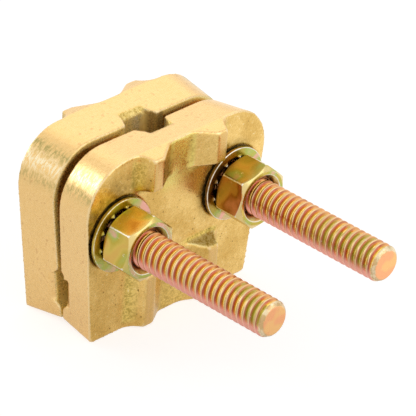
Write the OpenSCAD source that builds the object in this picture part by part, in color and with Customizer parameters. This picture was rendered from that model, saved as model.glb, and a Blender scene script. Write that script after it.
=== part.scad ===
// Two-jaw clamp that joins a ground rod and a grounding wire.
// Both jaws are the same casting, set back to back and drawn together by two long hex bolts.
// X runs across the jaws, Y runs along the bolts with their tips at -Y, and Z is up.
// Y = 0 is the parting plane, and Z = 0 is the level that the jaws stand on.

/* [Jaw casting] */
// Thickness of a jaw from its mating face to its outer face
jaw_thickness = 7.4; // [6.5:0.1:9]
// Height of a jaw at its outer face
jaw_height = 32.2; // [31:0.1:40]
// Width of a jaw across its foot
foot_width = 35.4; // [34:0.1:42]
// Angle by which each side flares out toward the top, in degrees
side_flare = 5.8; // [4:0.1:8]
// Casting draft of the sides and the top, in degrees
draft_angle = 6.7; // [3:0.1:8]
// Casting draft of the foot, in degrees
foot_draft = 4.5; // [3:0.1:8]
// Radius of the two upper corners at the outer face
shoulder_radius = 8.4; // [6:0.1:11]
// Radius of the two lower corners at the outer face
foot_radius = 0.9; // [0.3:0.1:3]
// Angle by which each jaw leans back from the parting plane, in degrees
jaw_lean = 1.3; // [0.5:0.1:2]
// Gap between the heels of the two jaws
heel_gap = 0.2; // [0.1:0.05:0.6]

/* [Rod seat] */
// Height of the ribs above the outer face
rib_height = 2.55; // [2:0.05:3.5]
// Width of a rib's crest
rib_crest = 2.1; // [1:0.1:2.5]
// Run of a rib's outer flank from crest to foot
rib_flank_run = 1; // [0.4:0.1:2]
// Fillet at the foot of a rib's outer flank
rib_fillet = 2.4; // [0.5:0.1:3]
// Angle at which the ribs' outer ends draw in, in degrees
rib_end_draft = 12; // [2:0.5:20]
// Length of the ribs at the top of a jaw
upper_rib_length = 6.7; // [4:0.1:7]
// Length of the ribs at the foot of a jaw
lower_rib_length = 10.1; // [6:0.1:12]
// Width of the rod seat between the rib crests
seat_mouth = 12.2; // [9:0.1:14]
// Width of the rod seat's floor
seat_width = 4.8; // [3:0.1:7]
// Height of the rod seat's floor above the outer face
seat_floor = 0.1; // [0.05:0.05:0.5]
// Fillet between the rod seat's floor and its sides
seat_fillet = 3; // [1:0.1:4]
// Angle at which the lower ribs' upper ends rise toward the plate, in degrees
ledge_rise = 24; // [5:1:35]

/* [Wire grooves] */
// Width of the upright groove at the mating face
upright_mouth = 6.9; // [5.5:0.1:8]
// Width of the upright groove's floor
upright_floor = 4.8; // [4.2:0.1:5.4]
// Depth of the upright groove in each jaw
upright_depth = 2; // [1.5:0.1:3]
// Height of the cross groove at the mating face
cross_mouth = 7.5; // [6.5:0.1:8.5]
// Height of the cross groove's floor
cross_floor = 5.4; // [4:0.1:6]
// Depth of the cross groove in each jaw
cross_depth = 1; // [0.8:0.1:2]
// Height of the cross groove's centre line above the foot
cross_height = 6.5; // [5:0.1:9]
// Length of the lead-in at the ends of the grooves
lead_run = 0.7; // [0.3:0.1:1.5]
// Depth of the lead-in below the grooves' floors
lead_depth = 0.9; // [0.3:0.1:1.5]

/* [Bolts] */
// Outer diameter of the bolts' thread
bolt_diameter = 6.35; // [5:0.05:7]
// Length of a bolt under its head
bolt_length = 45.8; // [38:0.1:65]
// Distance between the two bolts
bolt_spacing = 25.4; // [24:0.1:27]
// Height of the bolts above the foot
bolt_height = 19; // [18:0.1:20]
// Width of a bolt's head across its flats
head_flats = 10.9; // [9:0.1:11.5]
// Height of a bolt's head
head_height = 4.1; // [3:0.1:6]
// Depth of the hex pocket that holds a bolt's head in the rear jaw
pocket_depth = 4; // [2:0.1:4.5]
// Room on each flat between a bolt's head and its pocket
pocket_clearance = 0.15; // [0.05:0.05:0.4]
// Chamfer at a bolt's tip
tip_chamfer = 0.8; // [0.3:0.1:1.5]
// Pitch of the thread
thread_pitch = 1.27; // [0.8:0.01:2]
// Depth of the thread
thread_depth = 0.75; // [0.4:0.05:1]
// Radial room between a bolt and its hole in a jaw
hole_clearance = 0.35; // [0.3:0.05:0.6]

/* [Nuts and washers] */
// Width of a nut across its flats
nut_flats = 10; // [9:0.1:11.5]
// Height of a nut
nut_height = 5.7; // [4:0.1:7]
// Angle of a nut's first corner about its bolt, in degrees
nut_turn = 18; // [0:1:59]
// Radial room between a nut's bore and the bolt's thread
thread_clearance = 0.05; // [0.02:0.01:0.1]
// Countersink at both ends of a nut's bore
nut_countersink = 0.9; // [0.2:0.1:1.2]
// Outer diameter of a lock washer
washer_diameter = 12.8; // [11:0.1:13.5]
// Thickness of a lock washer's sheet
washer_sheet = 0.65; // [0.4:0.05:1]
// Width of a lock washer's unbroken rim
washer_rim = 1.6; // [0.8:0.1:2]
// Number of inner teeth on a lock washer
washer_teeth = 10; // [6:1:10]
// Angle of a lock washer's first tooth about its bolt, in degrees
washer_turn = 8; // [0:1:59]
// Width of a tooth
tooth_width = 1.5; // [1:0.1:1.8]
// Angle by which the teeth are twisted out of the sheet, in degrees
tooth_twist = 40; // [20:1:50]
// Radial room between a bolt and a washer's teeth
washer_clearance = 0.3; // [0.3:0.05:0.6]
// Radial room round a washer in its spot face
spot_clearance = 0.25; // [0.1:0.05:0.6]
// Least depth of a spot face
spot_cut = 0.05; // [0.02:0.01:0.2]

/* [Hidden] */
$fn = 96;
hull_fn = 48;
brass = [0.85, 0.67, 0.33];
plated = [0.78, 0.62, 0.30];
// Distance by which a cutting or buried shape passes the face it crosses
over = 1;
// Chamfer circles of the hex parts, as a share of their flats, and their angle
hex_face = 0.95;
nut_seat_face = 0.92;
hex_angle = 34;
// Length by which a washer's teeth are rooted in its rim
tooth_root = 0.25;
// Thickness of the discs that the rim is drawn from
disc_height = 0.02;
// Share of the pitch that is flat at the thread's crest and at its root
crest_share = 0.2;
root_share = 0.14;

draft = tan(draft_angle);
flare = tan(side_flare);
crest_level = jaw_thickness + rib_height;
bolt_radius = bolt_diameter / 2;
shoulder_z = jaw_height - shoulder_radius;

// Drafted top and side of the jaw at the floors of the two grooves
groove_top = jaw_height - (jaw_thickness - upright_depth) * draft;
groove_side = foot_width / 2 + cross_height * flare - (jaw_thickness - cross_depth) * draft;

// Half widths of the rib crests and the rib feet
crest_half = seat_mouth / 2 + rib_crest;
rib_half = crest_half + rib_flank_run;
flank_angle = atan(rib_flank_run / rib_height);
flank_run = rib_fillet / tan((90 + flank_angle) / 2);

// Slope of the rod seat's sides
seat_slope = atan((rib_height - seat_floor) / ((seat_mouth - seat_width) / 2));
seat_run = seat_fillet * tan(seat_slope / 2);

// Clear band between the lower ribs' crests and the foot of the upper ribs
band_low = lower_rib_length;
band_high = jaw_height - upper_rib_length;

// Spot faces and head pockets stand square to the bolts, measured from the parting plane
spot_radius = washer_diameter / 2 + spot_clearance;
spot_level = heel_gap / 2 + jaw_thickness * cos(jaw_lean)
    + (bolt_height - spot_radius) * tan(jaw_lean) - spot_cut;
washer_height = tooth_width * sin(tooth_twist) + washer_sheet * cos(tooth_twist);
nut_level = spot_level + washer_height;
head_level = spot_level - pocket_depth;

// Half width of the rim's side at a height, less a corner of the given radius
function corner_half(height, radius) =
    foot_width / 2 + height * flare - radius / cos(side_flare);

// Thin disc at one corner of the rim, at a distance outward from the mating face
module rim_disc(outward, across, height, radius)
    translate([across, -outward, height])
        rotate([90, 0, 0])
            cylinder(h = disc_height, r = radius, $fn = hull_fn);

// The rim's four corners at a distance outward, drawn in by the draft over the depth behind them
module rim_corners(outward, depth)
    for (side = [-1, 1]) {
        rim_disc(outward, side * (corner_half(shoulder_z, shoulder_radius) - depth * draft),
            shoulder_z - depth * draft, shoulder_radius);
        rim_disc(outward, side * (corner_half(foot_radius, foot_radius) - depth * draft),
            foot_radius + depth * tan(foot_draft), foot_radius);
    }

// Plate of the jaw with its draft, widest at the outer face
module jaw_plate()
    hull() {
        rim_corners(0, jaw_thickness);
        rim_corners(jaw_thickness - disc_height, 0);
    }

// Cross-section of the ribs and the rod seat, as distance across and distance outward
module rib_profile() {
    root = jaw_thickness - over;
    difference() {
        union() {
            polygon([[-rib_half, root], [rib_half, root], [rib_half, jaw_thickness],
                [crest_half, crest_level], [-crest_half, crest_level], [-rib_half, jaw_thickness]]);
            for (side = [0, 1])
                mirror([side, 0])
                    flank_fillet(root);
        }
        translate([0, jaw_thickness + seat_floor])
            rod_seat();
    }
}

// Hollow fillet between a rib's flank and the outer face
module flank_fillet(root) {
    foot = rib_half + flank_run;
    difference() {
        polygon([[crest_half, root], [foot, root], [foot, jaw_thickness + rib_fillet],
            [rib_half - flank_run * sin(flank_angle),
                jaw_thickness + flank_run * cos(flank_angle)]]);
        translate([foot, jaw_thickness + rib_fillet])
            circle(rib_fillet);
    }
}

// Open section of the rod seat, from its floor up past the crests
module rod_seat() {
    floor_half = seat_width / 2 - seat_run;
    bend = [seat_width / 2 + seat_run * cos(seat_slope), seat_run * sin(seat_slope)];
    rise = rib_height + over;
    top = seat_width / 2 + rise / tan(seat_slope);
    polygon([[-floor_half, 0], [floor_half, 0], bend, [top, rise], [-top, rise], [-bend[0], bend[1]]]);
    for (side = [-1, 1])
        translate([side * floor_half, seat_fillet])
            circle(seat_fillet);
}

// Straight bar across the jaw, from a profile of distance outward and height
module cross_bar(width, profile)
    rotate([90, 0, 90])
        linear_extrude(width, center = true)
            polygon([for (p = profile) [-p[0], p[1]]]);

// Height of the lower ribs' upper ends at a distance outward
function ledge_height(outward) = band_low + (crest_level - outward) * tan(ledge_rise);

// Rib stubs with the rod seat between them, cleared between the lower and upper pair
module rod_ribs() {
    end_in = rib_height * tan(rib_end_draft);
    root = jaw_thickness - over;
    near = root - over;
    far = crest_level + over;
    difference() {
        intersection() {
            translate([0, 0, -over])
                mirror([0, 1, 0])
                    linear_extrude(jaw_height + 2 * over)
                        rib_profile();
            cross_bar(2 * foot_width, [
                [root, over], [jaw_thickness, 0], [crest_level, end_in],
                [crest_level, jaw_height - end_in], [jaw_thickness, jaw_height],
                [root, jaw_height - over]]);
        }
        cross_bar(3 * foot_width, [
            [near, ledge_height(near)], [far, ledge_height(far)],
            [far, band_high + (far - jaw_thickness) * draft],
            [near, band_high + (near - jaw_thickness) * draft]]);
    }
}

// One jaw as cast, upright, with its mating face at Y = 0 and its outer face toward -Y
module jaw_casting() {
    difference() {
        union() {
            jaw_plate();
            rod_ribs();
        }
        translate([0, 0, -over])
            linear_extrude(jaw_height + 2 * over)
                groove_profile(upright_mouth, upright_floor, upright_depth);
        translate([0, 0, groove_top])
            rotate([0, -90, 0])
                groove_lead(upright_depth, upright_floor);
        for (side = [0, 1])
            mirror([side, 0, 0])
                translate([groove_side, 0, cross_height])
                    rotate([0, side_flare, 0])
                        groove_lead(cross_depth, cross_floor);
        translate([0, 0, cross_height])
            rotate([0, 90, 0])
                linear_extrude(2 * foot_width, center = true)
                    groove_profile(cross_mouth, cross_floor, cross_depth);
    }
}

// Sloped-sided groove cut into the mating face, carried past it at the same slope
module groove_profile(mouth, floor_width, depth) {
    slope = (mouth - floor_width) / 2 / depth;
    top = mouth / 2 + slope * over;
    polygon([[-floor_width / 2, -depth], [floor_width / 2, -depth], [top, over], [-top, over]]);
}

// Sloped lead-in at a groove's end, as wide as the groove's floor, with X running out of the end
module groove_lead(depth, width)
    linear_extrude(width, center = true)
        polygon([[-lead_run * (1 + over / lead_depth), over - depth], [over, over - depth],
            [over, -depth - lead_depth * (1 + over / lead_run)]]);

// Places its children on both bolt axes or on one, with their own Z along the bolt's tip
module on_bolts(level, sides = [-1, 1])
    for (side = sides)
        translate([side * bolt_spacing / 2, -level, bolt_height])
            rotate([90, 0, 0])
                children();

// Jaw in place on the front side: leaned about its heel and drilled square to the bolts
module drilled_jaw()
    difference() {
        translate([0, -heel_gap / 2, jaw_thickness * sin(jaw_lean)])
            rotate([jaw_lean, 0, 0])
                jaw_casting();
        on_bolts(-over)
            cylinder(h = spot_level + crest_level, r = bolt_radius + hole_clearance);
    }

// Hex body with a chamfer circle on its far end, and on its near end too where a share is given for it
module hex_body(flats, height, near_share) {
    reach = flats / 2 / cos(30) + over;
    far_face = hex_face * flats / 2;
    near_face = near_share > 0 ? near_share * flats / 2 : reach;
    intersection() {
        cylinder(h = height, r = flats / 2 / cos(30), $fn = 6);
        rotate_extrude()
            polygon([[0, 0], [near_face, 0], [reach, (reach - near_face) * tan(hex_angle)],
                [reach, height - (reach - far_face) * tan(hex_angle)], [far_face, height], [0, height]]);
    }
}

// Bolt's half section: a thread ridge at every pitch, from the head to the chamfered tip
module thread_section() {
    root = bolt_radius - thread_depth;
    ridges = floor((bolt_length - tip_chamfer) / thread_pitch);
    flank = (1 - crest_share - root_share) / 2;
    difference() {
        polygon([[0, 0], [bolt_radius, 0], [bolt_radius, bolt_length - tip_chamfer],
            [bolt_radius - tip_chamfer, bolt_length], [0, bolt_length]]);
        for (i = [1 : ridges])
            translate([0, bolt_length - tip_chamfer - i * thread_pitch])
                thread_groove(root, flank);
    }
}

// One groove of the thread, carried past the crest at the slope of its flanks
module thread_groove(root, flank) {
    past = over * flank * thread_pitch / thread_depth;
    low = crest_share / 2 * thread_pitch;
    high = (1 - crest_share / 2) * thread_pitch;
    polygon([[bolt_radius + over, low - past], [root, low + flank * thread_pitch],
        [root, high - flank * thread_pitch], [bolt_radius + over, high + past]]);
}

// Hex bolt with its head in the rear jaw's pocket
module hex_bolt(side)
    on_bolts(-head_level, [side]) {
        rotate_extrude()
            thread_section();
        rotate([180, 0, 30])
            hex_body(head_flats, head_height, 0);
    }

// Lock washer on the front jaw's spot face: a flat rim, held off the jaw and the nut by twisted inner teeth
module lock_washer(side) {
    bore = bolt_radius + washer_clearance;
    rim_inner = washer_diameter / 2 - washer_rim;
    on_bolts(spot_level + washer_height / 2, [side]) {
        difference() {
            cylinder(h = washer_sheet, r = washer_diameter / 2, center = true);
            cylinder(h = washer_sheet + 2 * over, r = rim_inner, center = true);
        }
        for (i = [0 : washer_teeth - 1])
            rotate(washer_turn + i * 360 / washer_teeth)
                rotate([tooth_twist, 0, 0])
                    translate([bore, -tooth_width / 2, -washer_sheet / 2])
                        cube([rim_inner + tooth_root - bore, tooth_width, washer_sheet]);
    }
}

// Hex nut on its lock washer
module hex_nut(side) {
    bore = bolt_radius + thread_clearance;
    on_bolts(nut_level, [side])
        difference() {
            rotate(nut_turn)
                hex_body(nut_flats, nut_height, nut_seat_face);
            translate([0, 0, -over])
                cylinder(h = nut_height + 2 * over, r = bore);
            translate([0, 0, -over])
                cylinder(h = nut_countersink + over, r1 = bore + nut_countersink + over, r2 = bore);
            translate([0, 0, nut_height - nut_countersink])
                cylinder(h = nut_countersink + over, r1 = bore, r2 = bore + nut_countersink + over);
        }
}

// Rear jaw: turned about, with a hex pocket for each bolt's head
module rear_jaw()
    color(brass)
        rotate([0, 0, 180])
            difference() {
                drilled_jaw();
                on_bolts(head_level)
                    rotate(30)
                        cylinder(h = pocket_depth + crest_level,
                            r = (head_flats / 2 + pocket_clearance) / cos(30), $fn = 6);
            }

// Front jaw: spot-faced for the lock washers
module front_jaw()
    color(brass)
        difference() {
            drilled_jaw();
            on_bolts(spot_level)
                cylinder(h = crest_level, r = spot_radius);
        }

module left_bolt() color(plated) hex_bolt(-1);
module right_bolt() color(plated) hex_bolt(1);
module left_lock_washer() color(plated) lock_washer(-1);
module right_lock_washer() color(plated) lock_washer(1);
module left_nut() color(plated) hex_nut(-1);
module right_nut() color(plated) hex_nut(1);

rear_jaw();
front_jaw();
left_bolt();
right_bolt();
left_lock_washer();
right_lock_washer();
left_nut();
right_nut();
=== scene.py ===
import math
import bpy
import bmesh
import numpy as np
from mathutils import Euler, Matrix, Vector


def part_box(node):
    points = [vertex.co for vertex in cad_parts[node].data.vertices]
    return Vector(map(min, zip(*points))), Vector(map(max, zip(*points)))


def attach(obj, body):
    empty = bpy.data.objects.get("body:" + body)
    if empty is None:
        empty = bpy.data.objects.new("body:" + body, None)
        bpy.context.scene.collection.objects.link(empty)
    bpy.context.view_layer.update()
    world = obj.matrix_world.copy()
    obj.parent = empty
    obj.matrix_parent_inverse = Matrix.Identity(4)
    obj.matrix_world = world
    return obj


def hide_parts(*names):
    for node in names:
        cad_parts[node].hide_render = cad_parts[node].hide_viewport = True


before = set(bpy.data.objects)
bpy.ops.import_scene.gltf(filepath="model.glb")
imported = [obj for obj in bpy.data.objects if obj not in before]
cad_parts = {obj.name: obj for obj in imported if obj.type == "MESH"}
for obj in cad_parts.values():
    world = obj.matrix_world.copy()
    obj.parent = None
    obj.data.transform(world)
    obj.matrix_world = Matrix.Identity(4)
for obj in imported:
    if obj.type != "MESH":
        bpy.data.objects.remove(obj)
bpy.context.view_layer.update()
mm = 0.001
scene = bpy.context.scene
scene.view_settings.view_transform = "Standard"
print("frame loaded", sorted(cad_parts))


# node tree helpers

floatKind, vectorKind, colourKind = "NodeSocketFloat", "NodeSocketVector", "NodeSocketColor"
noiseSpan = (0.3, 0.7)  # most of a noise lies between these


def addNode(tree, kind, inputs=None, **settings):
    node = tree.nodes.new(kind)
    for name, value in settings.items():
        setattr(node, name, value)
    for name, value in (inputs or {}).items():
        socket = node.inputs[name]
        if isinstance(value, bpy.types.NodeSocket):
            tree.links.new(value, socket)
        else:
            socket.default_value = value
    return node


def wire(tree, source, shader, name):
    tree.links.new(source, shader.inputs[name])


def mathOf(tree, operation, first, second):
    return addNode(tree, "ShaderNodeMath", {0: first, 1: second}, operation=operation).outputs[0]


def timesOf(tree, first, second):
    return mathOf(tree, "MULTIPLY", first, second)


def plusOf(tree, first, second):
    return mathOf(tree, "ADD", first, second)


def aroundZero(tree, noise, reach):
    return timesOf(tree, mathOf(tree, "SUBTRACT", noise, 0.5), reach)


def spanOf(tree, value, low, high, toLow=0.0, toHigh=1.0):
    node = addNode(tree, "ShaderNodeMapRange", {0: value, 1: low, 2: high, 3: toLow, 4: toHigh},
                   interpolation_type="SMOOTHSTEP")
    return node.outputs[0]


def paint(colour):
    if isinstance(colour, tuple) and len(colour) == 3:
        return colour + (1.0,)
    return colour


def blendOf(tree, factor, first, second, kind="MIX"):
    node = addNode(tree, "ShaderNodeMix", {0: factor, 6: paint(first), 7: paint(second)},
                   data_type="RGBA", blend_type=kind)
    return node.outputs[2]


def rampOf(tree, value, stops):
    node = addNode(tree, "ShaderNodeValToRGB", {0: value})
    ramp = node.color_ramp
    while len(ramp.elements) < len(stops):
        ramp.elements.new(0.5)
    for element, (place, colour) in zip(ramp.elements, stops):
        element.position = place
        element.color = paint(colour)
    return node.outputs[0]


def noiseOf(tree, vector, scale, detail=2.0, roughness=0.5, distortion=0.0):
    node = addNode(tree, "ShaderNodeTexNoise", {"Vector": vector, "Scale": scale, "Detail": detail,
                                                "Roughness": roughness, "Distortion": distortion})
    return node.outputs[0]


def stretchOf(tree, vector, factors):
    node = addNode(tree, "ShaderNodeVectorMath", {0: vector, 1: factors}, operation="MULTIPLY")
    return node.outputs[0]


def dimOf(tree, colour, tone):
    node = addNode(tree, "ShaderNodeVectorMath", {0: colour, 3: tone}, operation="SCALE")
    return node.outputs[0]


def liftOf(tree, height, strength, distance):
    node = addNode(tree, "ShaderNodeBump", {"Strength": strength, "Distance": distance, "Height": height})
    return node.outputs[0]


def marked(tree, name, kind="Fac"):
    node = addNode(tree, "ShaderNodeAttribute", attribute_name=name, attribute_type="GEOMETRY")
    return node.outputs[kind]


def marksOf(tree, *names):
    return {name: marked(tree, name) for name in names}


def newGroup(name, inputs, outputs):
    tree = bpy.data.node_groups.new(name, "ShaderNodeTree")
    for socketName, kind in inputs.items():
        tree.interface.new_socket(socketName, in_out="INPUT", socket_type=kind)
    for socketName, kind in outputs.items():
        tree.interface.new_socket(socketName, in_out="OUTPUT", socket_type=kind)
    start = tree.nodes.new("NodeGroupInput")
    end = tree.nodes.new("NodeGroupOutput")
    return tree, start.outputs, end


def endGroup(tree, end, **results):
    for name, source in results.items():
        tree.links.new(source, end.inputs[name])
    return tree


def placeGroup(tree, group, inputs):
    return addNode(tree, "ShaderNodeGroup", inputs, node_tree=group).outputs


def newMaterial(name):
    material = bpy.data.materials.new(name)
    material.use_nodes = True
    tree = material.node_tree
    shader = next(n for n in tree.nodes if n.type == "BSDF_PRINCIPLED")
    place = addNode(tree, "ShaderNodeTexCoord").outputs["Object"]
    return material, tree, shader, place


# shared effects

def makeCastGrain():
    outputs = ("Grain", "Lumps", "Cloud", "Flecks", "Pits", "Height")
    tree, given, end = newGroup("castGrain", {"Vector": vectorKind, "Scale": floatKind},
                                dict.fromkeys(outputs, floatKind))
    vector, scale = given["Vector"], given["Scale"]
    fine = noiseOf(tree, vector, scale, 2.5, 0.62)
    middle = noiseOf(tree, vector, timesOf(tree, scale, 0.34), 2.0, 0.55)
    broad = noiseOf(tree, vector, timesOf(tree, scale, 0.055), 3.0, 0.55)
    sand = addNode(tree, "ShaderNodeTexVoronoi", {"Vector": vector, "Scale": timesOf(tree, scale, 0.42)})
    grain = plusOf(tree, timesOf(tree, fine, 0.62), timesOf(tree, middle, 0.38))
    flecks = timesOf(tree, spanOf(tree, fine, 0.62, 0.74), spanOf(tree, middle, 0.45, 0.6))
    pits = timesOf(tree, spanOf(tree, sand.outputs["Distance"], 0.24, 0.08), spanOf(tree, middle, 0.5, 0.36))
    height = mathOf(tree, "SUBTRACT", grain, timesOf(tree, pits, 0.5))
    return endGroup(tree, end, Grain=grain, Lumps=middle, Cloud=broad, Flecks=flecks, Pits=pits,
                    Height=height)


def makeWornEdges():
    inputs = {"Edge": floatKind, "Vector": vectorKind, "Scale": floatKind, "Low": floatKind,
              "High": floatKind}
    tree, given, end = newGroup("wornEdges", inputs, {"Wear": floatKind})
    rub = noiseOf(tree, given["Vector"], given["Scale"], 3.0, 0.6)
    shifted = plusOf(tree, given["Edge"], aroundZero(tree, rub, 0.7))
    return endGroup(tree, end, Wear=spanOf(tree, shifted, given["Low"], given["High"]))


# the film's colours as it grows thicker
filmStops = [
    (0.10, (0.86, 0.42, 0.30)), (0.25, (0.46, 0.21, 0.035)), (0.38, (0.72, 0.44, 0.11)),
    (0.48, (0.70, 0.50, 0.11)), (0.58, (0.56, 0.43, 0.07)), (0.68, (0.44, 0.50, 0.12)),
    (0.80, (0.84, 0.44, 0.34))]


def makeChromateFilm():
    inputs = {"Vector": vectorKind, "Scale": floatKind, "Shift": floatKind, "Sway": floatKind}
    outputs = {"Film": colourKind, "Flecks": floatKind, "Cloud": floatKind}
    tree, given, end = newGroup("chromateFilm", inputs, outputs)
    vector, scale = given["Vector"], given["Scale"]
    broad = noiseOf(tree, vector, scale, 1.5, 0.45, 0.6)
    fine = noiseOf(tree, vector, timesOf(tree, scale, 7.0), 3.0, 0.6, 1.5)
    calm = plusOf(tree, aroundZero(tree, broad, given["Sway"]), 0.5)
    film = rampOf(tree, plusOf(tree, calm, given["Shift"]), filmStops)
    flecks = timesOf(tree, spanOf(tree, fine, 0.66, 0.7), spanOf(tree, broad, 0.5, 0.6))
    return endGroup(tree, end, Film=film, Flecks=flecks, Cloud=broad)


castGrain = makeCastGrain()
wornEdges = makeWornEdges()
chromateFilm = makeChromateFilm()


def wearOf(tree, edge, place, facts):
    return placeGroup(tree, wornEdges, {"Edge": edge, "Vector": place, **facts})["Wear"]


def filmOf(tree, place, look, shift):
    facts = {"Vector": place, "Scale": look["grain"], "Shift": shift, "Sway": look["sway"]}
    return placeGroup(tree, chromateFilm, facts)


def platedSurface(tree, shader, place, look, colour, rough):
    wire(tree, colour, shader, "Base Color")
    wire(tree, rough, shader, "Roughness")
    shader.inputs["Metallic"].default_value = 1.0
    scuff = noiseOf(tree, place, look["scuff"], 3.0, 0.6)
    wire(tree, liftOf(tree, scuff, *look["bump"]), shader, "Normal")


# cast brass of the jaws

jawFinish = {
    # sand-cast faces
    "castDark": (0.80, 0.51, 0.135), "castLight": (1.0, 0.69, 0.24), "shade": (0.84, 0.81, 0.72),
    "fleck": (1.0, 0.86, 0.52), "pit": (0.28, 0.16, 0.035), "grain": 3000.0,
    "hollowDark": (0.54, 0.40, 0.08), "hollowLight": (0.96, 0.74, 0.22),
    # the ledge colours are painted light on the up-facing rib ends
    "ledgeDark": (0.70, 0.50, 0.11), "ledgeLight": (1.0, 0.87, 0.43),
    # the seat colour is painted light on the upper rod seat, and the colour after it is painted shade beside
    # the washers
    "seat": (0.87, 0.75, 0.21), "grime": (0.36, 0.36, 0.26),
    # wire grooves and their lead-ins; the groove colour is painted light on the groove walls and the
    # mating-face lip, and the dark colour with its share is a stretch of painted shade on the walls
    "cavity": (1.0, 0.78, 0.29), "gloom": (0.30, 0.18, 0.055), "gloomShare": 0.7,
    "lead": (0.62, 0.42, 0.10), "leadLight": (0.93, 0.70, 0.25),
    # ground rim and rib crests
    "rimDark": (0.88, 0.565, 0.215), "rimLight": (0.98, 0.66, 0.28), "grainShare": 0.6, "strokeShare": 0.4,
    # the darker band colour and the glint are a painted reflection and a painted highlight on the shoulders
    "speck": (0.62, 0.33, 0.12), "speckShare": 0.45, "beltDark": (0.46, 0.37, 0.13),
    "glint": (1.0, 0.88, 0.58), "strokes": (850.0, 2500.0, 0.0),
    "crest": (0.78, 0.51, 0.17), "crestPale": (0.82, 0.53, 0.20), "streaks": (2600.0, 2600.0, 160.0),
    # worn edges, and how the surface shines
    "worn": (1.0, 0.80, 0.48), "wornShare": 0.45, "wear": {"Scale": 900.0, "Low": 0.4, "High": 0.9},
    "roughness": (0.22, 0.33), "hollowRoughness": 0.2, "metal": 0.92, "cavityMetal": 0.42,
    "bump": (0.5, 0.00016), "castBump": 0.45, "rimBump": 0.22, "hollowBump": 0.9,
}


def castColour(tree, sand, at):
    look = jawFinish
    grain = sand["Grain"]
    cast = blendOf(tree, spanOf(tree, sand["Cloud"], 0.32, 0.68), look["castDark"], look["castLight"])
    shade = blendOf(tree, 1.0, cast, look["shade"], "MULTIPLY")
    cast = blendOf(tree, spanOf(tree, grain, 0.36, 0.62), shade, cast)
    # painted light: the upper rod seat is painted lighter and yellower
    seat = timesOf(tree, at["seat"], spanOf(tree, grain, 0.36, 0.6, 0.45, 0.95))
    cast = blendOf(tree, seat, cast, look["seat"])
    # olive of the as-cast hollows; at the foot of the rod seat this darker colour is painted shade
    hollow = blendOf(tree, spanOf(tree, grain, 0.4, 0.6), look["hollowDark"], look["hollowLight"])
    cast = blendOf(tree, at["hollow"], cast, hollow)
    # painted light on the up-facing rib ends
    ledge = blendOf(tree, spanOf(tree, grain, 0.38, 0.58), look["ledgeDark"], look["ledgeLight"])
    cast = blendOf(tree, at["ledge"], cast, ledge)
    # painted light on the groove walls and the mating-face lip, then a stretch of painted shade and one of
    # painted highlight on the walls
    cast = blendOf(tree, at["cavity"], cast, look["cavity"])
    cast = blendOf(tree, timesOf(tree, at["gloom"], look["gloomShare"]), cast, look["gloom"])
    gleam = timesOf(tree, at["gleam"], spanOf(tree, grain, 0.36, 0.52))
    cast = blendOf(tree, gleam, cast, look["fleck"])
    lead = blendOf(tree, spanOf(tree, grain, 0.38, 0.6), look["lead"], look["leadLight"])
    cast = blendOf(tree, at["lead"], cast, lead)
    # painted shade on the face beside the washers, above and to their left
    stain = timesOf(tree, at["grime"], spanOf(tree, sand["Lumps"], 0.3, 0.65, 1.0, 0.55))
    cast = blendOf(tree, stain, cast, blendOf(tree, 1.0, cast, look["grime"], "MULTIPLY"))
    cast = blendOf(tree, sand["Flecks"], cast, look["fleck"])
    return blendOf(tree, sand["Pits"], cast, look["pit"])


def groundColour(tree, sand, at):
    look = jawFinish
    along = stretchOf(tree, marked(tree, "belt", "Vector"), look["strokes"])
    strokes = noiseOf(tree, along, 1.0, 3.5, 0.7, 0.5)
    brushed = plusOf(tree, timesOf(tree, spanOf(tree, sand["Grain"], 0.34, 0.6), look["grainShare"]),
                     timesOf(tree, spanOf(tree, strokes, 0.34, 0.62), look["strokeShare"]))
    ground = blendOf(tree, brushed, look["rimDark"], look["rimLight"])
    specks = timesOf(tree, spanOf(tree, sand["Lumps"], 0.60, 0.72), look["speckShare"])
    ground = blendOf(tree, specks, ground, look["speck"])
    # painted reflection on the shoulders: a darker band pair and a glint, broken up by the strokes
    dull = timesOf(tree, at["dull"], spanOf(tree, strokes, 0.36, 0.62))
    ground = blendOf(tree, dull, ground, look["beltDark"])
    bright = timesOf(tree, at["bright"], spanOf(tree, strokes, 0.56, 0.42))
    return blendOf(tree, bright, ground, look["glint"])


def makeJawBrass():
    look = jawFinish
    material, tree, shader, place = newMaterial("jaw_cast_brass")
    at = marksOf(tree, "rim", "crest", "edge", "hollow", "ledge", "seat", "cavity", "gloom", "gleam", "lead",
                 "grime", "dull", "bright")
    sand = placeGroup(tree, castGrain, {"Vector": place, "Scale": look["grain"]})
    colour = blendOf(tree, at["rim"], castColour(tree, sand, at), groundColour(tree, sand, at))
    streaks = spanOf(tree, noiseOf(tree, stretchOf(tree, place, look["streaks"]), 1.0), 0.38, 0.64)
    colour = blendOf(tree, at["crest"], colour, blendOf(tree, streaks, look["crest"], look["crestPale"]))
    wear = wearOf(tree, at["edge"], place, look["wear"])
    colour = blendOf(tree, timesOf(tree, wear, look["wornShare"]), colour, look["worn"])
    wire(tree, colour, shader, "Base Color")
    rough = spanOf(tree, sand["Grain"], *noiseSpan, *look["roughness"])
    rough = plusOf(tree, rough, timesOf(tree, at["hollow"], look["hollowRoughness"]))
    wire(tree, rough, shader, "Roughness")
    metal = spanOf(tree, at["cavity"], 0.0, 1.0, look["metal"], look["cavityMetal"])
    wire(tree, metal, shader, "Metallic")
    depth = plusOf(tree, timesOf(tree, at["hollow"], look["hollowBump"]),
                   spanOf(tree, at["rim"], 0.0, 1.0, look["castBump"], look["rimBump"]))
    tall = timesOf(tree, sand["Height"], depth)
    wire(tree, liftOf(tree, tall, *look["bump"]), shader, "Normal")
    return material


# chromate film of the nuts, washers and bolts

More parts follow.
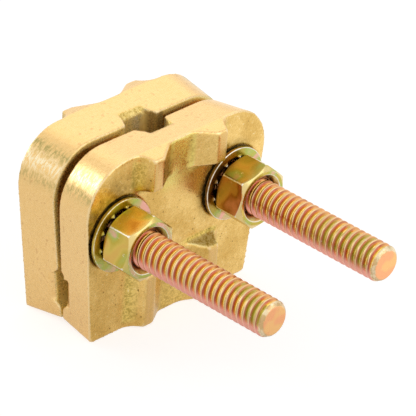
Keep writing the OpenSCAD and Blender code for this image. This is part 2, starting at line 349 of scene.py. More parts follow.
nutFinish = {
    # the bore colour is painted shade in the bore and countersink
    "worn": (0.92, 0.86, 0.74), "chamfer": (0.84, 0.66, 0.28), "bore": (0.34, 0.19, 0.05),
    "grain": 230.0, "sway": 0.95, "wear": {"Scale": 2600.0, "Low": 0.26, "High": 0.54},
    "roughness": (0.16, 0.26), "wornRoughness": 0.15, "scuff": 2200.0, "bump": (0.12, 0.0001),
}


def makePlatedNut():
    look = nutFinish
    material, tree, shader, place = newMaterial("plated_nut_chromate")
    at = marksOf(tree, "edge", "facet", "tone", "inner", "chamfer")
    film = filmOf(tree, place, look, at["facet"])
    wear = wearOf(tree, at["edge"], place, look["wear"])
    pale = timesOf(tree, at["chamfer"], spanOf(tree, film["Cloud"], 0.66, 0.42, 0.25, 0.85))
    # the film dimmed flat by flat as painted shade, then painted shade in the bore and countersink
    colour = blendOf(tree, pale, dimOf(tree, film["Film"], at["tone"]), look["chamfer"])
    colour = blendOf(tree, at["inner"], colour, look["bore"])
    colour = blendOf(tree, wear, colour, look["worn"])
    colour = blendOf(tree, film["Flecks"], colour, look["worn"])
    rough = spanOf(tree, film["Cloud"], *noiseSpan, *look["roughness"])
    rough = plusOf(tree, rough, timesOf(tree, wear, look["wornRoughness"]))
    platedSurface(tree, shader, place, look, colour, rough)
    return material


washerFinish = {
    # the bore colour is painted shade on the teeth between the rim and the nut
    "worn": (0.88, 0.82, 0.70), "bore": (0.10, 0.05, 0.015), "innerWear": 0.35,
    "grain": 330.0, "sway": 0.5, "wear": {"Scale": 2600.0, "Low": 0.3, "High": 0.7},
    "roughness": (0.2, 0.32), "scuff": 2600.0, "bump": (0.15, 0.0001),
}


def makePlatedWasher():
    look = washerFinish
    material, tree, shader, place = newMaterial("plated_washer_chromate")
    at = marksOf(tree, "edge", "inner", "facet", "tone")
    film = filmOf(tree, place, look, at["facet"])
    wear = wearOf(tree, at["edge"], place, look["wear"])
    # the film dimmed round the rim as painted shade and highlight, then painted shade on the teeth under the
    # nut
    colour = blendOf(tree, at["inner"], dimOf(tree, film["Film"], at["tone"]), look["bore"])
    bare = timesOf(tree, wear, spanOf(tree, at["inner"], 0.0, 1.0, 1.0, look["innerWear"]))
    colour = blendOf(tree, bare, colour, look["worn"])
    rough = spanOf(tree, film["Cloud"], *noiseSpan, *look["roughness"])
    platedSurface(tree, shader, place, look, colour, rough)
    return material


boltFinish = {
    "crest": (0.64, 0.43, 0.20), "pale": (0.84, 0.64, 0.37), "red": (0.45, 0.115, 0.07),
    "orange": (0.95, 0.42, 0.09), "yellow": (1.0, 0.76, 0.20), "brown": (0.55, 0.28, 0.07),
    # colours from the thread's root to its crest, on the flanks toward the tip and toward the head: partly
    # the film's own colours and partly painted reflection and shade, darker on the flanks toward the head
    "tipSide": ((0.0, "yellow"), (0.2, "yellow"), (0.42, "orange"), (0.62, "red"), (0.9, "red"),
                (0.97, "pale"), (1.0, "crest")),
    "headSide": ((0.0, "yellow"), (0.35, "brown"), (0.75, "brown"), (0.92, "pale"), (1.0, "crest")),
    "levelScale": 420.0, "levelSway": 0.22,
    # green patches are the film's own; the underside and upper-side colours are painted reflection
    "green": (0.38, 0.43, 0.08), "greenShare": 0.6, "under": (0.95, 0.43, 0.34), "underShare": 0.85,
    "over": (0.90, 0.46, 0.17), "cone": (0.87, 0.71, 0.45), "rubScale": 700.0,
    "tip": (0.98, 0.455, 0.21), "tipPatch": (0.98, 0.55, 0.215), "patchScale": 330.0,
    "worn": (0.90, 0.84, 0.70), "fleckShare": 0.5, "grain": 240.0, "sway": 0.62,
    "roughness": (0.2, 0.32), "scuff": 2600.0, "bump": (0.06, 0.0001),
}


def threadColour(tree, place, film, at):
    look = boltFinish
    sway = noiseOf(tree, place, look["levelScale"])
    level = plusOf(tree, at["depth"], aroundZero(tree, sway, look["levelSway"]))
    # colour by depth and by which way each flank faces: the film's own colours with painted reflection and
    # shade
    tipSide, headSide = (rampOf(tree, level, [(stop, look[name]) for stop, name in look[side]])
                         for side in ("tipSide", "headSide"))
    thread = blendOf(tree, spanOf(tree, at["flank"], -0.3, 0.2), headSide, tipSide)
    # painted reflection along the bolt's up-right upper side
    over = timesOf(tree, at["over"], spanOf(tree, sway, 0.3, 0.6, 0.3, 0.8))
    thread = blendOf(tree, over, thread, look["over"])
    patch = timesOf(tree, spanOf(tree, film["Cloud"], 0.46, 0.56), spanOf(tree, at["depth"], 0.85, 0.55))
    green = timesOf(tree, timesOf(tree, patch, at["end"]), look["greenShare"])
    thread = blendOf(tree, green, thread, look["green"])
    # painted reflection on the bolt's underside
    return blendOf(tree, timesOf(tree, at["under"], look["underShare"]), thread, look["under"])


def makePlatedBolt():
    look = boltFinish
    material, tree, shader, place = newMaterial("plated_bolt_chromate")
    at = marksOf(tree, "depth", "flank", "tip", "cone", "under", "over", "shank", "end")
    film = filmOf(tree, place, look, 0.0)
    colour = blendOf(tree, at["shank"], film["Film"], threadColour(tree, place, film, at))
    rubbed = spanOf(tree, noiseOf(tree, place, look["rubScale"], 3.0, 0.6), 0.40, 0.62)
    colour = blendOf(tree, at["cone"], colour, blendOf(tree, rubbed, look["crest"], look["cone"]))
    patches = spanOf(tree, noiseOf(tree, place, look["patchScale"], 1.0), 0.44, 0.6)
    colour = blendOf(tree, at["tip"], colour, blendOf(tree, patches, look["tip"], look["tipPatch"]))
    colour = blendOf(tree, timesOf(tree, film["Flecks"], look["fleckShare"]), colour, look["worn"])
    rough = spanOf(tree, film["Cloud"], *noiseSpan, *look["roughness"])
    platedSurface(tree, shader, place, look, colour, rough)
    return material


jawBrass = makeJawBrass()
platedNut = makePlatedNut()
platedWasher = makePlatedWasher()
platedBolt = makePlatedBolt()
print("finishes made")


# mesh helpers, all in millimetres until a piece is placed

sixth = math.pi / 3  # a hexagon's share of a turn
weld, fineWeld = 1e-3, 1e-4  # points closer than this are one


def middleOf(node):
    low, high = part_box(node)
    return (low + high) / 2 / mm


def onBolt(node, level):
    # Z runs along the bolt toward its tip, from a level in metres
    middle = middleOf(node)
    return Matrix.Translation((middle.x, level / mm, middle.z)) @ Matrix.Rotation(math.radians(90), 4, "X")


def mergedCopy(node):
    bm = bmesh.new()
    bm.from_mesh(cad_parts[node].data)
    bmesh.ops.remove_doubles(bm, verts=bm.verts, dist=weld * mm)
    bmesh.ops.transform(bm, matrix=Matrix.Scale(1 / mm, 4), verts=bm.verts)
    return bm


def everything(bm):
    return bm.verts[:] + bm.edges[:] + bm.faces[:]


def reskin(bm, voxel):
    draft = bpy.data.meshes.new("draft")
    bm.to_mesh(draft)
    holder = bpy.data.objects.new("draft", draft)
    scene.collection.objects.link(holder)
    skin = holder.modifiers.new("skin", "REMESH")
    skin.mode = "VOXEL"
    skin.voxel_size = voxel
    done = bpy.data.meshes.new_from_object(holder.evaluated_get(bpy.context.evaluated_depsgraph_get()))
    bm.clear()
    bm.from_mesh(done)
    bpy.data.objects.remove(holder)
    bpy.data.meshes.remove(draft)
    bpy.data.meshes.remove(done)


def relax(bm, rounds):
    for turn in range(rounds):
        bmesh.ops.smooth_vert(bm, verts=bm.verts, factor=0.5, use_axis_x=True, use_axis_y=True,
                              use_axis_z=True)


def drawChain(bm, points, closed, gap):
    # a section of distance from the axis and distance along it, with points about a gap apart
    corners = [bm.verts.new((r, 0.0, z)) for r, z in points]
    pairs = list(zip(corners, corners[1:]))
    if closed:
        pairs.append((corners[-1], corners[0]))
    edges = [bm.edges.new(pair) for pair in pairs]
    for edge in edges:
        cuts = int(edge.calc_length() / gap)
        if cuts:
            bmesh.ops.subdivide_edges(bm, edges=[edge], cuts=cuts)
    return bm.verts[:] + bm.edges[:]


def turnBody(bm, section, steps):
    bmesh.ops.spin(bm, geom=section, cent=(0, 0, 0), axis=(0, 0, 1), angle=2 * math.pi, steps=steps,
                   use_merge=True)
    bmesh.ops.remove_doubles(bm, verts=bm.verts, dist=fineWeld)


def hexCut(bm, flats, turn, soften, inner):
    # draws a turned body in to its six flats, with the corners softened
    for vert in bm.verts:
        reach = math.hypot(vert.co.x, vert.co.y)
        if reach < inner:
            continue
        angle = (math.atan2(vert.co.y, vert.co.x) - math.radians(turn)) % sixth - sixth / 2
        flat = flats / 2 / math.cos(angle)
        drawn = min(reach, flat) - soften * math.log1p(math.exp(-abs(reach - flat) / soften))
        vert.co.x *= drawn / reach
        vert.co.y *= drawn / reach


def placePiece(name, bm, matrix, material, node, body):
    bmesh.ops.transform(bm, matrix=Matrix.Scale(mm, 4) @ matrix, verts=bm.verts)
    mesh = bpy.data.meshes.new(name)
    bm.to_mesh(mesh)
    bm.free()
    mesh.shade_smooth()
    mesh.materials.append(material)
    piece = bpy.data.objects.new(name, mesh)
    scene.collection.objects.link(piece)
    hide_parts(node)
    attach(piece, body)
    print("made", name, sum(len(p.vertices) - 2 for p in mesh.polygons), "triangles")
    return mesh


# marks: values at the points of a mesh, which the finishes read

def surfaceOf(mesh):
    count = len(mesh.vertices)
    spots, normals = np.empty(count * 3), np.empty(count * 3)
    mesh.vertices.foreach_get("co", spots)
    mesh.vertices.foreach_get("normal", normals)
    return spots.reshape(-1, 3) / mm, normals.reshape(-1, 3)


def localOf(mesh, matrix):
    spots, normals = surfaceOf(mesh)
    back = np.array(matrix.inverted())
    return spots @ back[:3, :3].T + back[:3, 3], normals @ back[:3, :3].T


def edgesOf(mesh):
    pairs = np.empty(len(mesh.edges) * 2, dtype=np.int64)
    mesh.edges.foreach_get("vertices", pairs)
    return pairs.reshape(-1, 2)


def neighbourMean(pairs, values):
    count = len(values)
    first, second = pairs[:, 0], pairs[:, 1]
    share = np.bincount(first, minlength=count) + np.bincount(second, minlength=count)
    return (np.bincount(first, values[second], count) + np.bincount(second, values[first], count)) / share


def spreadOver(pairs, values, rounds):
    for turn in range(rounds):
        values = 0.5 * values + 0.5 * neighbourMean(pairs, values)
    return values


def bendOf(mesh, pairs, rounds):
    # how far each point stands above the mean of its neighbours, in shares of the edge length
    spots, normals = surfaceOf(mesh)
    mean = np.stack([neighbourMean(pairs, spots[:, axis]) for axis in range(3)], axis=1)
    gap = np.linalg.norm(spots[pairs[:, 0]] - spots[pairs[:, 1]], axis=1).mean()
    rise = ((spots - mean) * normals).sum(axis=1) / gap
    return spreadOver(pairs, rise, rounds)


def softStep(values, low, high):
    share = np.clip((values - low) / (high - low), 0.0, 1.0)
    return share * share * (3 - 2 * share)


def hump(values, centre, width):
    return np.exp(-((values - centre) / width) ** 2)


def mark(mesh, **marks):
    for name, values in marks.items():
        values = np.ascontiguousarray(values, dtype=np.float32)
        if values.ndim == 1:
            mesh.attributes.new(name, "FLOAT", "POINT").data.foreach_set("value", values)
        else:
            mesh.attributes.new(name, "FLOAT_VECTOR", "POINT").data.foreach_set("vector", values.ravel())


# jaws: the cast solids with soft arrises

jawShape = {
    "voxel": 0.235, "turn": (0.4, 0.6, 0.3), "rounds": 2,
    "arris": 0.3, "leastAngle": 28, "flatWithin": 0.4, "clear": 7.2,
    "halfFoot": 17.7, "flare": 5.8, "height": 32.2, "shoulder": 8.4,
    "lean": 1.3, "heel": 0.1, "thick": 7.4, "crestLevel": 9.95, "crossHeight": 6.5,
}
# where each finish starts and where it is full: lengths in millimetres, directions as shares of the normal
jawMarks = {
    "rimLeaving": (0.45, 0.75), "rimInside": (1.9, 1.4),
    "crestFacing": (0.9, 0.97), "crestOut": (-0.5, -0.25),
    # groove walls and mating-face lip, painted lighter, with a stretch of painted shade and one of painted
    # highlight
    "grooveAcross": (5.2, 4.6), "crossAway": (5.4, 4.8), "cavityFacing": (0.5, 0.2), "cavityOut": (-1.5, -3),
    "lipFacing": (-0.6, -0.85), "lipInside": (2.1, 1.4),
    "gloomRight": (2.3, 3.0), "gloomUp": (12, 16), "gleamAt": (1.0, 1.0), "gleamUp": (24, 29),
    "leadAcross": 2.9, "leadUp": 20, "leadOut": 3.1, "leadLeaving": (0.3, 0.95),
    # painted shade beside the washers: how near, how far, which way and on which faces
    "grimeNear": (8.6, 6.6), "grimeFar": (12.5, 7.5), "grimeFarShare": 0.7, "grimeToward": (-0.8, 0.6),
    "grimeAhead": (-0.1, 0.7), "grimeFacing": (0.7, 0.95),
    # painted light on the up-facing rib ends
    "ledgeUpward": (0.5, 0.75), "ledgeOut": (-0.3, 0.1),
    # the rod seat: painted light near its top, painted shade toward its foot
    "seatAcross": (4.4, 2.6), "seatFacing": (0.84, 0.94), "seatUp": (22, 25), "footUp": (12, 9),
    "footShare": 0.5, "edgeBend": (0.025, 0.13), "hollowBend": (0.004, 0.03), "hollowRounds": 10,
    # painted reflection bands on the shoulders, a darker pair and a glint: degrees from the top and width,
    # then each jaw's strengths and shift
    "dullAt": ((38, 9), (74, 8)), "brightAt": (56, 10),
    "belt": {"rear_jaw": {"dull": (1.0, 0.7), "shift": 0}, "front_jaw": {"dull": (0.2, 0.9), "shift": -9}},
}


def fade(values, key):
    return softStep(values, *jawMarks[key])


def roundArrises(bm):
    # flat parts become single faces, then the outer corners away from the bolts are rounded
    shape = jawShape
    bmesh.ops.dissolve_limit(bm, angle_limit=math.radians(shape["flatWithin"]), use_dissolve_boundaries=False,
                             verts=bm.verts, edges=bm.edges)
    axes = [middleOf("left_nut"), middleOf("right_nut")]
    arrises = []
    for edge in bm.edges:
        middle = (edge.verts[0].co + edge.verts[1].co) / 2
        near = min(math.hypot(middle.x - axis.x, middle.z - axis.z) for axis in axes)
        sharp = edge.is_manifold and edge.calc_face_angle_signed() > math.radians(shape["leastAngle"])
        if near > shape["clear"] and sharp:
            arrises.append(edge)
    bmesh.ops.bevel(bm, geom=arrises, offset=shape["arris"], offset_type="OFFSET", segments=3, profile=0.5,
                    affect="EDGES", material=-1, clamp_overlap=False, loop_slide=True)
    return len(arrises)


def jawOutline(spots, normals):
    # depth inside the jaw's outline, how far a face turns out through it, and places along it
    shape = jawShape
    across, height = np.abs(spots[:, 0]), spots[:, 2]
    sideward, upward = normals[:, 0] * np.sign(spots[:, 0]), normals[:, 2]
    slope, shoulder = math.radians(shape["flare"]), shape["shoulder"]
    half = shape["halfFoot"] + height * math.tan(slope)
    centreUp = shape["height"] - shoulder
    centreOut = shape["halfFoot"] + centreUp * math.tan(slope) - shoulder / math.cos(slope)
    corner = (across > centreOut) & (height > centreUp)
    around = np.arctan2(across - centreOut, height - centreUp)
    ways = np.stack([(half - across) * math.cos(slope), shape["height"] - height, height])
    inside = np.where(corner, shoulder - np.hypot(across - centreOut, height - centreUp), ways.min(axis=0))
    flank = sideward * math.cos(slope) - upward * math.sin(slope)
    leaving = np.choose(ways.argmin(axis=0), [flank, upward, -upward])
    leaving = np.where(corner, sideward * np.sin(around) + upward * np.cos(around), leaving)
    arc = np.where(height > centreUp, centreOut + shoulder * np.clip(around, 0, math.pi / 2),
                   centreOut + shoulder * math.pi / 2 + centreUp - height)
    arc = np.where((across < centreOut) & (height > centreUp), across, arc)
    return inside, leaving, corner, np.degrees(around), arc


def grimeOf(spots, facing):
    # painted shade on the face round the washers, above and to their left, where their dark undersides and
    # shadow fall
    facts = jawMarks
    bolt = middleOf("right_nut")
    onLeft = spots[:, 0] < 0
    sideway, rise = spots[:, 0] + np.where(onLeft, bolt.x, -bolt.x), spots[:, 2] - bolt.z
    away = np.hypot(sideway, rise)
    toward = facts["grimeToward"]
    ahead = (sideway * toward[0] + rise * toward[1]) / np.maximum(away, 1)
    far = facts["grimeFarShare"] * onLeft * fade(away, "grimeFar")
    ring = np.maximum(fade(away, "grimeNear"), far)
    return ring * fade(facing, "grimeFacing") * fade(ahead, "grimeAhead")


def markJaw(mesh, node, outward):
    shape, facts = jawShape, jawMarks
    spots, normals = surfaceOf(mesh)
    right, across, height = spots[:, 0], np.abs(spots[:, 0]), spots[:, 2]
    facing, upward = outward * normals[:, 1], normals[:, 2]
    out = outward * spots[:, 1] - shape["heel"] - height * math.tan(math.radians(shape["lean"]))
    inside, leaving, corner, turned, arc = jawOutline(spots, normals)
    rim = fade(leaving, "rimLeaving") * fade(inside, "rimInside")
    crest = fade(facing, "crestFacing") * fade(out - shape["crestLevel"], "crestOut")
    # the grooves' walls, painted lighter, with a stretch of painted shade and one of painted highlight, and
    # the lip of the mating face, also painted lighter
    crossAway = np.abs(height - shape["crossHeight"])
    groove = np.maximum(fade(across, "grooveAcross"), fade(crossAway, "crossAway"))
    walls = (1 - rim) * fade(facing, "cavityFacing") * fade(out - shape["thick"], "cavityOut") * groove
    gloom = walls * fade(right, "gloomRight") * fade(height, "gloomUp")
    gleam = walls * hump(right, *facts["gleamAt"]) * fade(height, "gleamUp")
    cavity = np.maximum(walls, fade(facing, "lipFacing") * fade(inside, "lipInside"))
    least, most = facts["leadLeaving"]
    lead = (across < facts["leadAcross"]) & (height > facts["leadUp"]) & (out < facts["leadOut"])
    lead = lead & (leaving > least) & (leaving < most)
    rim = np.where(lead, 0.0, rim)
    # painted light on the up-facing rib ends
    ledge = (1 - rim) * (1 - lead) * fade(upward, "ledgeUpward") * fade(out - shape["thick"], "ledgeOut")
    # painted shade beside the washers, on the front jaw's face only
    grime = grimeOf(spots, facing) * (outward < 0)
    # places along the outline for the grinding belt's strokes, and painted reflection bands on the shoulders
    belt = np.stack([arc, spots[:, 1], arc * 0], axis=1) * mm
    (firstAt, firstWide), (secondAt, secondWide) = facts["dullAt"]
    brightAt, brightWide = facts["brightAt"]
    first, second = facts["belt"][node]["dull"]
    shift = facts["belt"][node]["shift"]
    streaks = first * hump(turned, firstAt, firstWide) + second * hump(turned, secondAt + shift, secondWide)
    dull = corner * rim * np.clip(streaks, 0, 1)
    bright = corner * rim * hump(turned, brightAt + shift, brightWide)
    # bends of the surface, and the rod seat between the ribs, lighter near its top as painted light and
    # darker toward its foot as painted shade
    pairs = edgesOf(mesh)
    bend = bendOf(mesh, pairs, 2)
    wide = spreadOver(pairs, bend, facts["hollowRounds"])
    floor = fade(across, "seatAcross") * (1 - rim) * fade(facing, "seatFacing")
    foot = facts["footShare"] * floor * fade(height, "footUp")
    hollow = np.maximum(np.maximum(fade(-wide, "hollowBend"), ledge), foot)
    mark(mesh, rim=rim, crest=crest, cavity=cavity, belt=belt, dull=dull, bright=bright,
         edge=fade(bend, "edgeBend"), hollow=hollow, ledge=ledge, lead=lead, grime=grime,
         seat=floor * fade(height, "seatUp"), gloom=gloom, gleam=gleam)


def makeJaw(node, outward):
    shape = jawShape
    bm = mergedCopy(node)
    print(node, "arrises", roundArrises(bm))
    # turned away from the grid, so no face runs almost along it
    turn = Euler(shape["turn"]).to_matrix().to_4x4()
    bmesh.ops.transform(bm, matrix=turn, verts=bm.verts)
    reskin(bm, shape["voxel"])
    bmesh.ops.transform(bm, matrix=turn.inverted(), verts=bm.verts)
    relax(bm, shape["rounds"])
    low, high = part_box(node)
    for vert in bm.verts:
        for axis in range(3):
            vert.co[axis] = min(max(vert.co[axis], low[axis] / mm), high[axis] / mm)
    mesh = placePiece(node + "_casting", bm, Matrix.Identity(4), jawBrass, node, node)
    markJaw(mesh, node, outward)


makeJaw("rear_jaw", 1)
makeJaw("front_jaw", -1)


# bolts: a cut right-hand thread from head to tip

boltShape = {
    "pitch": 1.27, "crest": 3.165, "root": 2.56, "steps": 120, "spareTurns": 2,
    "neck": 2.95, "neckEnd": 0.15, "runOut": 0.3, "runOutLength": 0.9,
    "tipFace": 2.375, "tipRoll": 0.85, "tipCone": 0.55, "tipInset": 0.12,
    "headFlats": 10.9, "headHeight": 4.1, "headTurn": 30, "headChamfer": 30, "faceShare": 0.95,
    "soften": 0.1, "hexFrom": 0.6, "headGap": 0.2,
}
# one pitch of the thread, as share of the pitch and share of its depth
threadSection = [
    (0.0, 0.0), (0.05, 0.02), (0.11, 0.14), (0.18, 0.42), (0.25, 0.70), (0.32, 0.89), (0.40, 0.98),
    (0.5, 1.0), (0.60, 0.98), (0.68, 0.89), (0.75, 0.70), (0.82, 0.42), (0.89, 0.14), (0.95, 0.02),
    (1.0, 0.0)]
# margins at the tip, and where the other colours start and are full; the underside and upper-side colours are
# painted reflection
boltMarks = {
    "tipDeep": 0.02, "tipFacing": 0.8, "coneIn": 0.05, "under": (-0.1, 0.4),
    "overToward": (0.65, 0.76), "over": (0.62, 0.98), "shank": (0.0, 0.3), "end": (-17, -9),
}


def makeThread(length):
    shape = boltShape
    pitch, spare, steps = shape["pitch"], shape["spareTurns"], shape["steps"]
    span = shape["crest"] - shape["root"]
    bm = bmesh.new()
    verts = [bm.verts.new((shape["root"] + span * rise, 0, (share - spare) * pitch))
             for share, rise in threadSection]
    edges = [bm.edges.new(pair) for pair in zip(verts, verts[1:])]
    bmesh.ops.spin(bm, geom=verts + edges, cent=(0, 0, 0), axis=(0, 0, 1), dvec=(0, 0, pitch / steps),
                   angle=2 * math.pi, steps=steps)
    made = 1
    while made < int(length / pitch) + 2 * spare:  # each round doubles the thread's length
        copy = bmesh.ops.duplicate(bm, geom=everything(bm))["geom"]
        moved = [part for part in copy if isinstance(part, bmesh.types.BMVert)]
        bmesh.ops.translate(bm, vec=(0, 0, made * pitch), verts=moved)
        made *= 2
    bmesh.ops.remove_doubles(bm, verts=bm.verts, dist=weld)
    for level, way in ((shape["neckEnd"], -1), (length, 1)):
        bmesh.ops.bisect_plane(bm, geom=everything(bm), plane_co=(0, 0, level), plane_no=(0, 0, way),
                               clear_outer=True, dist=fineWeld)
    return bm


def drawEnds(bm, length):
    # the tip is rolled in and capped, and the thread runs out into the neck
    shape = boltShape
    cone, neck = shape["tipCone"], shape["neck"]
    for vert in bm.verts:
        reach = math.hypot(vert.co.x, vert.co.y)
        back = min(1.0, (length - vert.co.z) / shape["tipRoll"])
        swell = cone * back + (1 - cone) * math.sqrt(max(0.0, 1 - (1 - back) ** 2))
        drawn = min(reach, shape["tipFace"] + (shape["crest"] - shape["tipFace"]) * swell)
        share = max(0.0, min(1.0, (vert.co.z - shape["runOut"]) / shape["runOutLength"]))
        drawn = neck + (drawn - neck) * share * share * (3 - 2 * share)
        vert.co.x *= drawn / reach
        vert.co.y *= drawn / reach
    tipEdges = [e for e in bm.edges if e.is_boundary and e.verts[0].co.z > length / 2]
    cap = bmesh.ops.edgeloop_fill(bm, edges=tipEdges)["faces"]
    bmesh.ops.inset_region(bm, faces=cap, thickness=shape["tipInset"], depth=0.0)


def addHead(bm):
    shape = boltShape
    flats = shape["headFlats"]
    face, reach = shape["faceShare"] * flats / 2, flats / 2 / math.cos(sixth / 2)
    fall = (reach - face) * math.tan(math.radians(shape["headChamfer"]))
    end = -shape["headHeight"]
    head = bmesh.new()
    outline = [(shape["neck"], 0), (reach, 0), (reach, end + fall), (face, end), (0, end)]
    turnBody(head, drawChain(head, outline, False, shape["headGap"]), shape["steps"] * 2)
    hexCut(head, flats, shape["headTurn"], shape["soften"], face - shape["hexFrom"])
    headMesh = bpy.data.meshes.new("head")
    head.to_mesh(headMesh)
    head.free()
    bm.from_mesh(headMesh)
    bpy.data.meshes.remove(headMesh)
    bmesh.ops.bridge_loops(bm, edges=[e for e in bm.edges if e.is_boundary])
    bmesh.ops.recalc_face_normals(bm, faces=bm.faces)


def markBolt(mesh, matrix, length):
    shape, facts = boltShape, boltMarks
    local, facing = localOf(mesh, matrix)
    level, toTip = local[:, 2], facing[:, 2]
    reach = np.hypot(local[:, 0], local[:, 1])
    depth = (reach - shape["root"]) / (shape["crest"] - shape["root"])
    sideward, upward = (local[:, axis] / np.maximum(reach, 0.1) for axis in (0, 1))
    over = facts["overToward"][1] * upward + facts["overToward"][0] * sideward
    onTip = level > length - facts["tipDeep"]
    onCone = level > length - shape["tipRoll"] - facts["tipDeep"]
    # the underside and the up-right upper side carry painted reflection
    mark(mesh, depth=np.clip(depth, 0, 1), flank=toTip, tip=onTip & (toTip > facts["tipFacing"]),
         cone=onCone & (reach > shape["tipFace"] - facts["coneIn"]),
         under=softStep(-upward, *facts["under"]), over=softStep(over, *facts["over"]),
         shank=softStep(level, *facts["shank"]), end=softStep(level - length, *facts["end"]))


def makeBolt(side):
    node = side + "_bolt"
    low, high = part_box(node)
    headLevel = high.y - boltShape["headHeight"] * mm
    length = (headLevel - low.y) / mm
    bm = makeThread(length)
    drawEnds(bm, length)
    addHead(bm)
    print(node, "open edges", sum(not e.is_manifold for e in bm.edges))
    matrix = onBolt(node, headLevel)
    mesh = placePiece(node + "_threaded", bm, matrix, platedBolt, node, "rear_jaw")
    markBolt(mesh, matrix, length)


makeBolt("left")
makeBolt("right")


# nuts: turned sections drawn in to their flats

nutShape = {
    "flats": 10.0, "bore": 3.225, "countersink": 0.9, "turn": 18, "faceShare": 0.95, "seatShare": 0.92,
    "chamfer": 34, "soften": 0.07, "hexFrom": 0.4, "steps": 192, "gap": 0.16,
    "chamferAxial": (0.3, 0.5), "endAxial": (0.9, 0.97), "edgeBend": (0.05, 0.22), "innerMargin": 0.2,
    # film shift of the ends, and shift and tone of the six flats: the shifts are the film's own hue and
    # partly painted reflection, and the tone dims flats as painted shade
    "endShift": 0.14,
    "shift": {"left": (0.0, -0.04, 0.02, 0.02, -0.05, 0.1), "right": (0.05, 0.05, -0.18, 0.06, 0.0, -0.1)},
    "tone": {"left": (1.0, 1.02, 0.95, 1.0, 0.9, 1.0), "right": (1.0, 0.62, 0.76, 1.0, 0.9, 1.0)},
}


def markNut(mesh, matrix, side):
    shape = nutShape
    local, facing = localOf(mesh, matrix)
    angle = np.degrees(np.arctan2(local[:, 1], local[:, 0])) - shape["turn"]
    index = (np.floor(angle / 60) % 6).astype(int)
    shift, tone = (np.array(shape[key][side])[index] for key in ("shift", "tone"))
    axial = np.abs(facing[:, 2])
    end = softStep(axial, *shape["endAxial"])
    bore, sink = shape["bore"], shape["countersink"]
    mark(mesh, facet=shift * (1 - end) + shape["endShift"] * end, tone=tone * (1 - end) + end,
         chamfer=softStep(axial, *shape["chamferAxial"]) * (1 - end),
         edge=softStep(bendOf(mesh, edgesOf(mesh), 1), *shape["edgeBend"]),
         inner=softStep(np.hypot(local[:, 0], local[:, 1]), bore + sink, bore + shape["innerMargin"]))


def makeNut(side):
    shape = nutShape
    node = side + "_nut"
    low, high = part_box(node)
    height = (high.y - low.y) / mm
    bore, sink = shape["bore"], shape["countersink"]
    face, seat = (shape[key] * shape["flats"] / 2 for key in ("faceShare", "seatShare"))
    reach = shape["flats"] / 2 / math.cos(sixth / 2)
    slope = math.tan(math.radians(shape["chamfer"]))
    bm = bmesh.new()
    outline = [
        (bore, sink), (bore, height - sink), (bore + sink, height), (face, height),
        (reach, height - (reach - face) * slope), (reach, (reach - seat) * slope), (seat, 0),
        (bore + sink, 0)]
    turnBody(bm, drawChain(bm, outline, True, shape["gap"]), shape["steps"])
    hexCut(bm, shape["flats"], shape["turn"], shape["soften"], seat - shape["hexFrom"])
    bmesh.ops.recalc_face_normals(bm, faces=bm.faces)
    matrix = onBolt(node, high.y)
    mesh = placePiece(node + "_hex", bm, matrix, platedNut, node, node)
    markNut(mesh, matrix, side)


makeNut("left")
makeNut("right")


# lock washers: thin rims with twisted inner teeth

washerShape = {
    "voxel": 0.1, "rounds": 1, "inner": (5.15, 4.7), "edgeBend": (0.02, 0.14),
    "rub": {"left": 0.55, "right": 0.85},
    # film shift and tone round the rim, at every sixth of a turn from the right-hand side upwards: the shifts
    # are the film's own hue and partly painted reflection, and the tone is painted shade and highlight
    "shift": {"left": (0.26, 0.17, 0.06, 0.06, 0.2, 0.32), "right": (0.2, 0.18, -0.2, -0.22, 0.28, 0.32)},
    "tone": {"left": (1.0, 1.05, 0.95, 0.9, 1.0, 1.05), "right": (1.0, 1.05, 0.5, 0.42, 1.0, 1.1)},
}


def markWasher(mesh, matrix, side):
    shape = washerShape
    local = localOf(mesh, matrix)[0]
    angle = np.degrees(np.arctan2(local[:, 1], local[:, 0])) % 360
    stops = np.arange(7) * 60
    facet, tone = (np.interp(angle, stops, values + values[:1])
                   for values in (shape["shift"][side], shape["tone"][side]))
    bend = bendOf(mesh, edgesOf(mesh), 1)
    mark(mesh, facet=facet, tone=tone, edge=softStep(bend, *shape["edgeBend"]) * shape["rub"][side],
         inner=softStep(np.hypot(local[:, 0], local[:, 1]), *shape["inner"]))


def makeWasher(side):
    shape = washerShape
    node = side + "_lock_washer"
    matrix = onBolt(node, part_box(node)[1].y)
    bm = mergedCopy(node)
    bmesh.ops.transform(bm, matrix=matrix.inverted(), verts=bm.verts)
    reskin(bm, shape["voxel"])
    relax(bm, shape["rounds"])
    mesh = placePiece(node + "_toothed", bm, matrix, platedWasher, node, "front_jaw")
    markWasher(mesh, matrix, side)


makeWasher("left")
makeWasher("right")


# floor, light and camera

studio = {
    "floorSize": 6.0, "floorGrey": 0.5, "floorGlow": 0.74, "room": 0.5, "background": 1.0,
    # how bright metal shows the floor near the part and to both sides, and where along X that changes: a
    # painted shadow on the floor, seen only in reflections
    "shineNear": 0.46, "shineRight": 0.76, "rightSpan": (-0.01, 0.045),
    "shineLeft": 0.57, "leftSpan": (-0.012, -0.03),
    "aim": (0, -0.012, 0.016),
    "lamps": {
        "key": {"power": 0.5, "size": 0.7, "place": (0.42, 0.38, 0.6)},
        "edge": {"power": 0.65, "size": 0.4, "place": (-0.33, 0.62, 0.4)},
        "fill": {"power": 1.0, "size": 0.7, "place": (0.25, -0.7, 0.5)},
    },
}


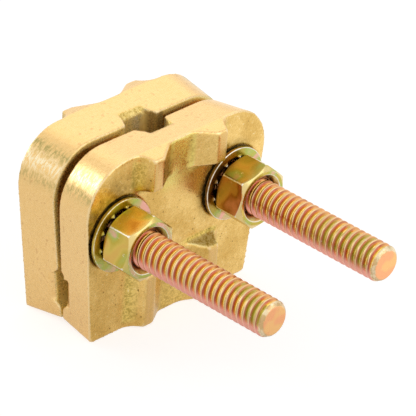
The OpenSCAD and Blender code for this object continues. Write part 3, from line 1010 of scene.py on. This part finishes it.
def makePaleFloor():
    material = bpy.data.materials.new("pale_floor")
    material.use_nodes = True
    tree = material.node_tree
    tree.nodes.clear()
    grey, near = studio["floorGrey"], studio["shineNear"]
    matt = addNode(tree, "ShaderNodeBsdfDiffuse", {"Color": (grey, grey, grey, 1)})
    path = addNode(tree, "ShaderNodeLightPath").outputs
    # metal shows the floor darker close to the part, a painted shadow seen only in reflections
    spot = addNode(tree, "ShaderNodeSeparateXYZ", {0: addNode(tree, "ShaderNodeTexCoord").outputs["Object"]})
    shine = mathOf(tree, "MAXIMUM",
                   spanOf(tree, spot.outputs[0], *studio["rightSpan"], near, studio["shineRight"]),
                   spanOf(tree, spot.outputs[0], *studio["leftSpan"], near, studio["shineLeft"]))
    strength = mathOf(tree, "MAXIMUM", timesOf(tree, path["Is Camera Ray"], studio["floorGlow"]),
                      timesOf(tree, path["Is Glossy Ray"], shine))
    glow = addNode(tree, "ShaderNodeEmission", {"Strength": strength})
    both = addNode(tree, "ShaderNodeAddShader", {0: matt.outputs[0], 1: glow.outputs[0]})
    addNode(tree, "ShaderNodeOutputMaterial", {"Surface": both.outputs[0]})
    return material


def makeFloor():
    bm = bmesh.new()
    bmesh.ops.create_grid(bm, x_segments=1, y_segments=1, size=studio["floorSize"] / 2)
    mesh = bpy.data.meshes.new("floor")
    bm.to_mesh(mesh)
    bm.free()
    mesh.materials.append(makePaleFloor())
    floor = bpy.data.objects.new("floor", mesh)
    scene.collection.objects.link(floor)


def makeRoom():
    world = bpy.data.worlds.new("studio")
    scene.world = world
    world.use_nodes = True
    tree = world.node_tree
    tree.nodes.clear()
    path = addNode(tree, "ShaderNodeLightPath").outputs
    shown = mathOf(tree, "MAXIMUM", path["Is Camera Ray"], path["Is Glossy Ray"])
    shown = mathOf(tree, "MAXIMUM", shown, path["Is Transmission Ray"])
    level = addNode(tree, "ShaderNodeMapRange", {0: shown, 3: studio["room"], 4: studio["background"]})
    air = addNode(tree, "ShaderNodeBackground", {"Color": (1, 1, 1, 1), "Strength": level.outputs[0]})
    addNode(tree, "ShaderNodeOutputWorld", {"Surface": air.outputs[0]})


def makeLamp(name, power, size, place):
    lamp = bpy.data.lights.new(name, "AREA")
    lamp.energy = power
    lamp.size = size
    holder = bpy.data.objects.new(name, lamp)
    holder.location = place
    holder.rotation_euler = (Vector(studio["aim"]) - Vector(place)).to_track_quat("-Z", "Y").to_euler()
    scene.collection.objects.link(holder)


# angles in degrees, away in millimetres, focal and axisAt in pixels of a square picture of frame pixels
view = {
    "azimuth": 46.072, "elevation": 31.523, "roll": 3.153, "away": 646.688, "focal": 3944.8,
    "axisAt": (135.802, 288.173), "frame": 416, "sensor": 36, "clip": (0.01, 20),
}


def makeCamera():
    turn, rise, roll = (math.radians(view[key]) for key in ("azimuth", "elevation", "roll"))
    ahead = Vector((math.sin(turn) * math.cos(rise), math.cos(turn) * math.cos(rise), -math.sin(rise)))
    right = Vector((math.cos(turn), -math.sin(turn), 0))
    up = right.cross(ahead)
    tiltRight = right * math.cos(roll) + up * math.sin(roll)
    tiltUp = up * math.cos(roll) - right * math.sin(roll)
    middle = view["frame"] / 2
    aim = (ahead + tiltRight * (middle - view["axisAt"][0]) / view["focal"]
           + tiltUp * (view["axisAt"][1] - middle) / view["focal"]).normalized()
    side = (tiltRight - aim * tiltRight.dot(aim)).normalized()
    top = side.cross(aim)
    lens = bpy.data.cameras.new("camera")
    lens.sensor_width = view["sensor"]
    lens.lens = view["focal"] / view["frame"] * lens.sensor_width
    lens.clip_start, lens.clip_end = view["clip"]
    camera = bpy.data.objects.new("camera", lens)
    turned = Matrix((side, top, -aim)).transposed().to_4x4()
    camera.matrix_world = Matrix.Translation(-ahead * view["away"] * mm) @ turned
    scene.collection.objects.link(camera)
    scene.camera = camera


makeFloor()
makeRoom()
for lampName, lampFacts in studio["lamps"].items():
    makeLamp(lampName, **lampFacts)
makeCamera()
print("studio set")
